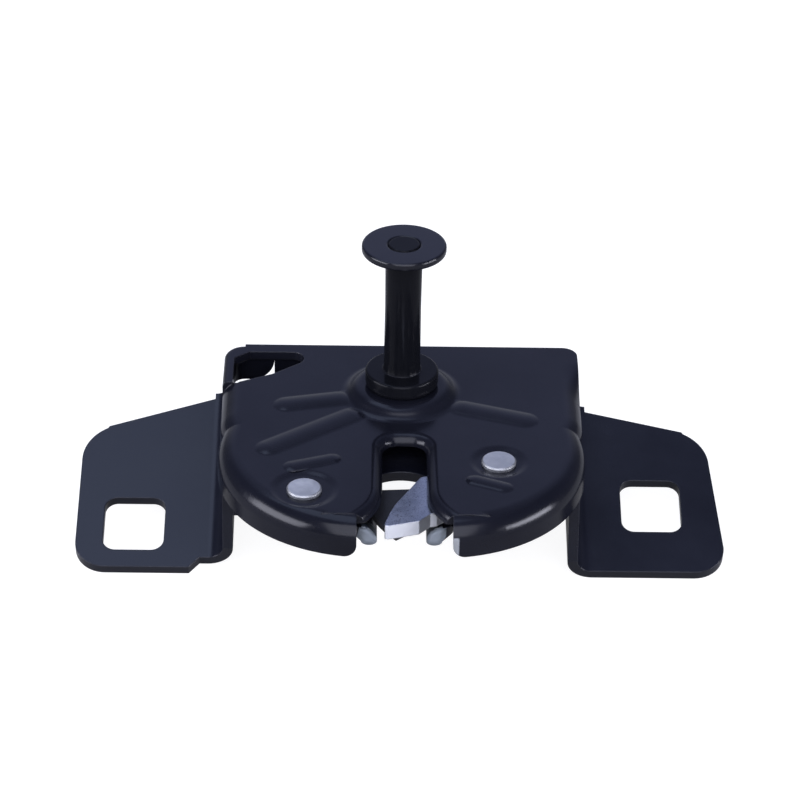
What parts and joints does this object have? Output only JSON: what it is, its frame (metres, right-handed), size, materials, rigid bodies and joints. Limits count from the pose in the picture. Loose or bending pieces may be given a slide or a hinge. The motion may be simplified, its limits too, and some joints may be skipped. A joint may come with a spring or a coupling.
{
  "type": "bonnet latch",
  "caption": "Pressed-steel bonnet latch with an open slot, a rotary claw, a release lever, a guide stud and two sloping mounting wings.",
  "frame": {"origin": "where the guide stud's axis meets the top face of the cover", "axes": "+X to the right seen from the slot's open end, +Y away from the open end, +Z along the stud"},
  "size_m": [0.126, 0.0666, 0.0613],
  "materials": {
    "black_coat": "glossy",
    "zinc_plate": "satin",
    "spring_steel": "satin",
    "black_plastic": "matte"
  },
  "bodies": {
    "frame": {"cover_pan": "black_coat", "base_plate": "black_coat", "guide_stud": "black_coat", "stud_head": "black_coat", "claw_pivot": "zinc_plate", "lever_pivot": "zinc_plate", "claw_spring": "spring_steel", "lever_spring": "spring_steel"},
    "claw": {"claw": "zinc_plate", "claw_pad": "black_plastic"},
    "release_lever": {"release_lever": "black_coat"}
  },
  "joints": [
    {"name": "claw_turn", "type": "hinge", "parent": "frame", "child": "claw", "pos_m": [0.0182, -0.0245, -0.0042], "axis": [0, 0, -1], "range_deg": [0, 52], "deforming": ["claw_spring"]},
    {"name": "lever_turn", "type": "hinge", "parent": "frame", "child": "release_lever", "pos_m": [-0.0182, -0.0345, -0.0042], "axis": [0, 0, 1], "range_deg": [0, 5], "deforming": ["lever_spring"]}
  ]
}
